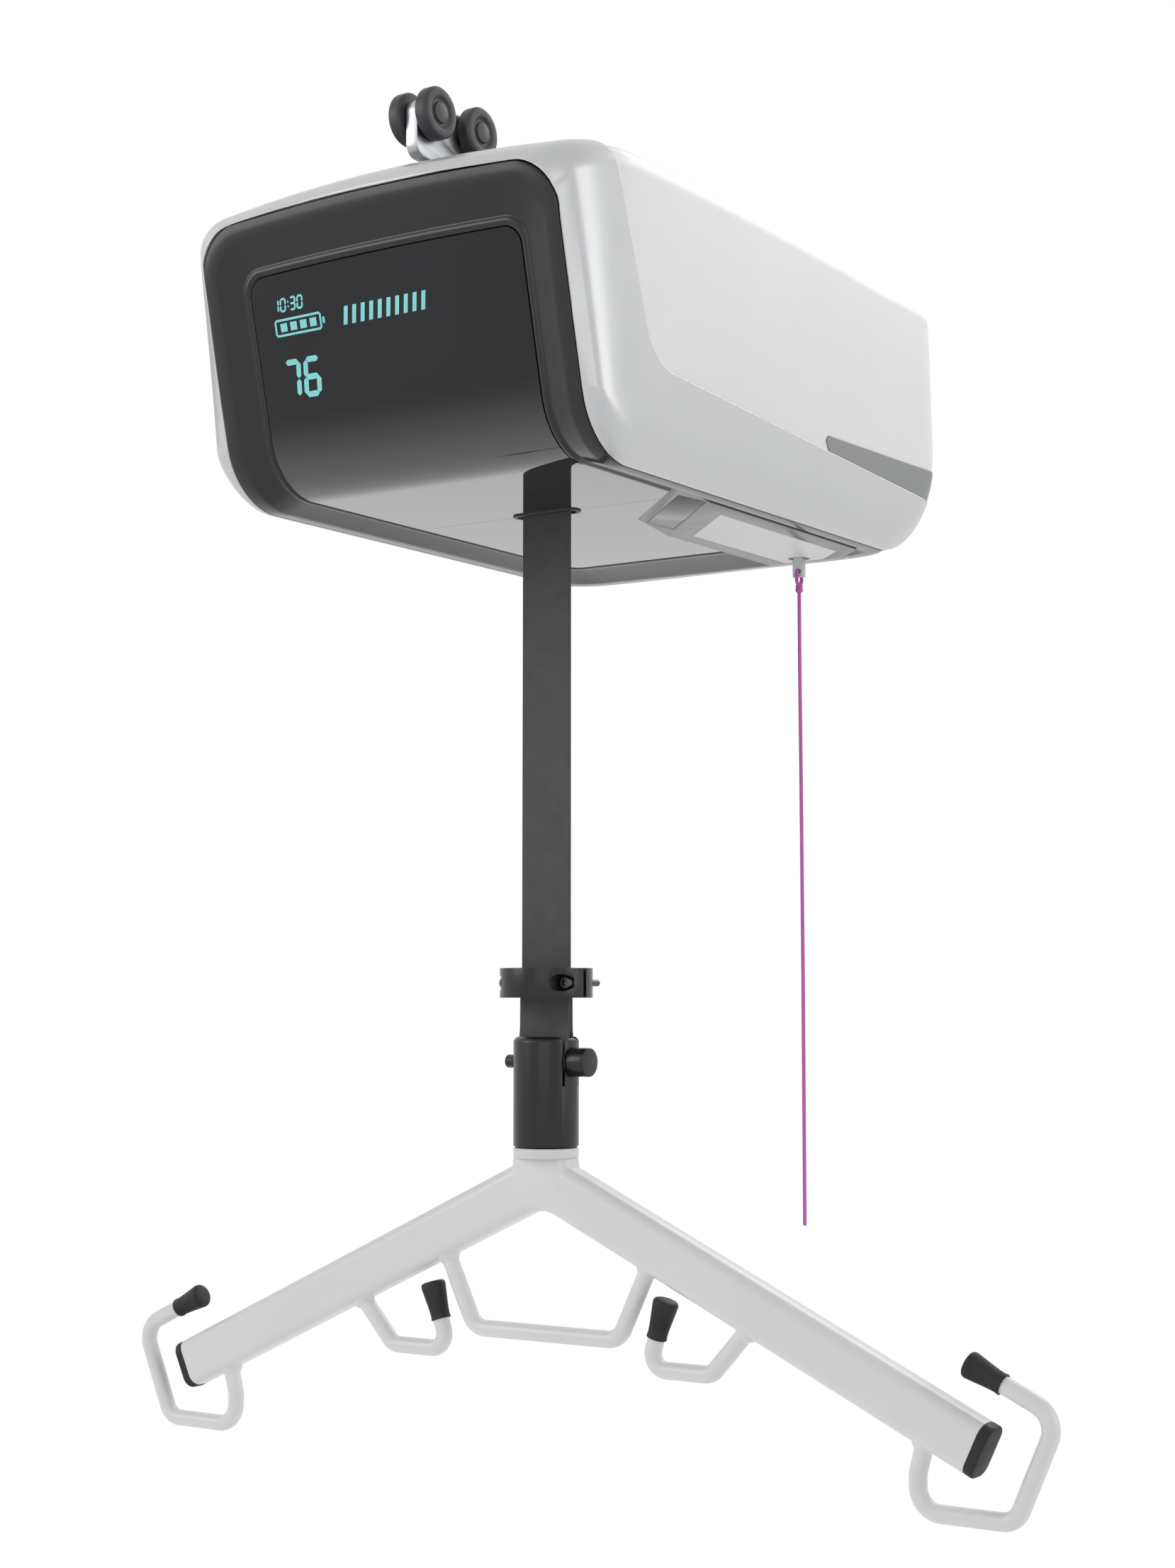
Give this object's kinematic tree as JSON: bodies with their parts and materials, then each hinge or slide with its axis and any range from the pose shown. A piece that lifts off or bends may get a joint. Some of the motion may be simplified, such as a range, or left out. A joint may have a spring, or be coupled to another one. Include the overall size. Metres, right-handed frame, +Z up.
{
  "type": "ceiling hoist",
  "caption": "Ceiling hoist with a moulded housing on wheeled trolleys, a lifting strap, a strap clamp with a swivel, and a sloped spreader bar with sling hooks and a centre loop.",
  "frame": {"origin": "where the lifting strap's centre line meets the surface that the trolley wheels run on", "axes": "+Z up, +Y along the running direction towards the housing's rear end, +X to the right seen from the display"},
  "size_m": [0.6442, 0.4644, 0.7916],
  "materials": {
    "white_shell": "smooth satin moulding",
    "silver_shell": "silver paint on a moulding",
    "grey_trim": "satin",
    "dark_face": "polished",
    "panel_glass": "tinted, polished",
    "label_white": "satin",
    "steel": "zinc plated",
    "motor_metal": "cast and turned",
    "black_plastic": "fine grain",
    "board_green": "solder mask",
    "white_plastic": "satin",
    "wheel_black": "moulded nylon",
    "webbing": "woven",
    "black_coat": "satin black coat",
    "white_coat": "white powder coat",
    "black_rubber": "moulded",
    "clear_plastic": "translucent",
    "cord_magenta": "braided"
  },
  "bodies": {
    "housing": {"front_frame": "silver_shell", "hood": "white_shell", "rear_band": "grey_trim", "face_frame": "dark_face", "display_glass": "panel_glass", "belly_glass": "panel_glass", "service_panel": "dark_face", "sensor_window": "panel_glass", "label_plate": "label_white", "strap_guide": "black_plastic", "chassis": "steel", "swivel_bushes": "steel", "drum_bearings": "steel", "gearbox": "motor_metal", "motor": "motor_metal", "battery_tray": "steel", "battery_packs": "black_plastic", "control_board": "board_green", "display_module": "black_plastic", "roller_pin": "steel", "limit_switch": "black_plastic", "pull_switch": "black_plastic", "hood_screws": "steel"},
    "drum": {"drum": "white_plastic", "drum_shaft": "steel", "drum_gear": "steel", "strap_roll": "webbing"},
    "pinion": {"pinion": "steel"},
    "roller": {"guide_roller": "white_plastic"},
    "front_truck": {"front_trolley": "steel", "front_swivel_nut": "steel"},
    "rear_truck": {"rear_trolley": "steel", "rear_swivel_nut": "steel"},
    "front_wheels_a": {"front_wheelset_a": "wheel_black"},
    "front_wheels_b": {"front_wheelset_b": "wheel_black"},
    "rear_wheels_a": {"rear_wheelset_a": "wheel_black"},
    "rear_wheels_b": {"rear_wheelset_b": "wheel_black"},
    "lift": {"strap_run": "webbing", "strap_tail": "webbing", "clamp_front": "black_coat", "clamp_rear": "black_coat", "clamp_screws": "steel", "barrel": "black_coat", "cross_pin": "black_coat"},
    "bar": {"swivel_collar": "white_plastic", "swivel_bolt": "steel", "bar_hub": "white_coat", "arm_left": "white_coat", "arm_right": "white_coat", "centre_loop": "white_coat", "outer_hook_left": "white_coat", "outer_hook_right": "white_coat", "inner_hook_left": "white_coat", "inner_hook_right": "white_coat", "end_caps": "black_rubber", "hook_tips": "black_rubber"},
    "pull": {"pull_rod": "clear_plastic", "pull_spring": "steel", "pull_loop": "cord_magenta", "pull_cord": "cord_magenta"}
  },
  "joints": [
    {"name": "lift_slide", "type": "slide", "parent": "housing", "child": "lift", "axis": [0, 0, 1], "range_m": [-1.93, 0.26], "deforming": ["strap_run"]},
    {"name": "drum_turn", "type": "hinge", "parent": "housing", "child": "drum", "pos_m": [0, 0.0423, -0.1], "axis": [1, 0, 0], "range_deg": [-360, 2640]},
    {"name": "pinion_turn", "type": "hinge", "parent": "housing", "child": "pinion", "pos_m": [0, 0.09855, -0.1], "axis": [1, 0, 0], "range_deg": [-10600, 1440]},
    {"name": "roller_turn", "type": "hinge", "parent": "housing", "child": "roller", "pos_m": [0, -0.0083, -0.1715], "axis": [1, 0, 0], "range_deg": [-15900, 2200]},
    {"name": "bar_swivel", "type": "hinge", "parent": "lift", "child": "bar", "pos_m": [0, 0, -0.5791], "axis": [0, 0, 1], "continuous": true},
    {"name": "emergency_pull", "type": "slide", "parent": "housing", "child": "pull", "axis": [0, 0, 1], "range_m": [-0.008, 0], "stiffness_N_per_m": 300, "springref_m": 0.004, "deforming": ["pull_spring"]},
    {"name": "front_truck_turn", "type": "hinge", "parent": "housing", "child": "front_truck", "pos_m": [0, -0.105, 0], "axis": [0, 0, 1], "range_deg": [-20, 20]},
    {"name": "rear_truck_turn", "type": "hinge", "parent": "housing", "child": "rear_truck", "pos_m": [0, 0.185, 0], "axis": [0, 0, 1], "range_deg": [-20, 20]},
    {"name": "front_wheels_a_roll", "type": "hinge", "parent": "front_truck", "child": "front_wheels_a", "pos_m": [0, -0.125, 0.015], "axis": [1, 0, 0], "continuous": true},
    {"name": "front_wheels_b_roll", "type": "hinge", "parent": "front_truck", "child": "front_wheels_b", "pos_m": [0, -0.085, 0.015], "axis": [1, 0, 0], "continuous": true},
    {"name": "rear_wheels_a_roll", "type": "hinge", "parent": "rear_truck", "child": "rear_wheels_a", "pos_m": [0, 0.165, 0.015], "axis": [1, 0, 0], "continuous": true},
    {"name": "rear_wheels_b_roll", "type": "hinge", "parent": "rear_truck", "child": "rear_wheels_b", "pos_m": [0, 0.205, 0.015], "axis": [1, 0, 0], "continuous": true}
  ],
  "couplings": [
    {"joint": "drum_turn", "follows": "lift_slide", "rad_per_m": -23.809},
    {"joint": "pinion_turn", "follows": "lift_slide", "rad_per_m": 95.238},
    {"joint": "roller_turn", "follows": "lift_slide", "rad_per_m": 136.99}
  ]
}
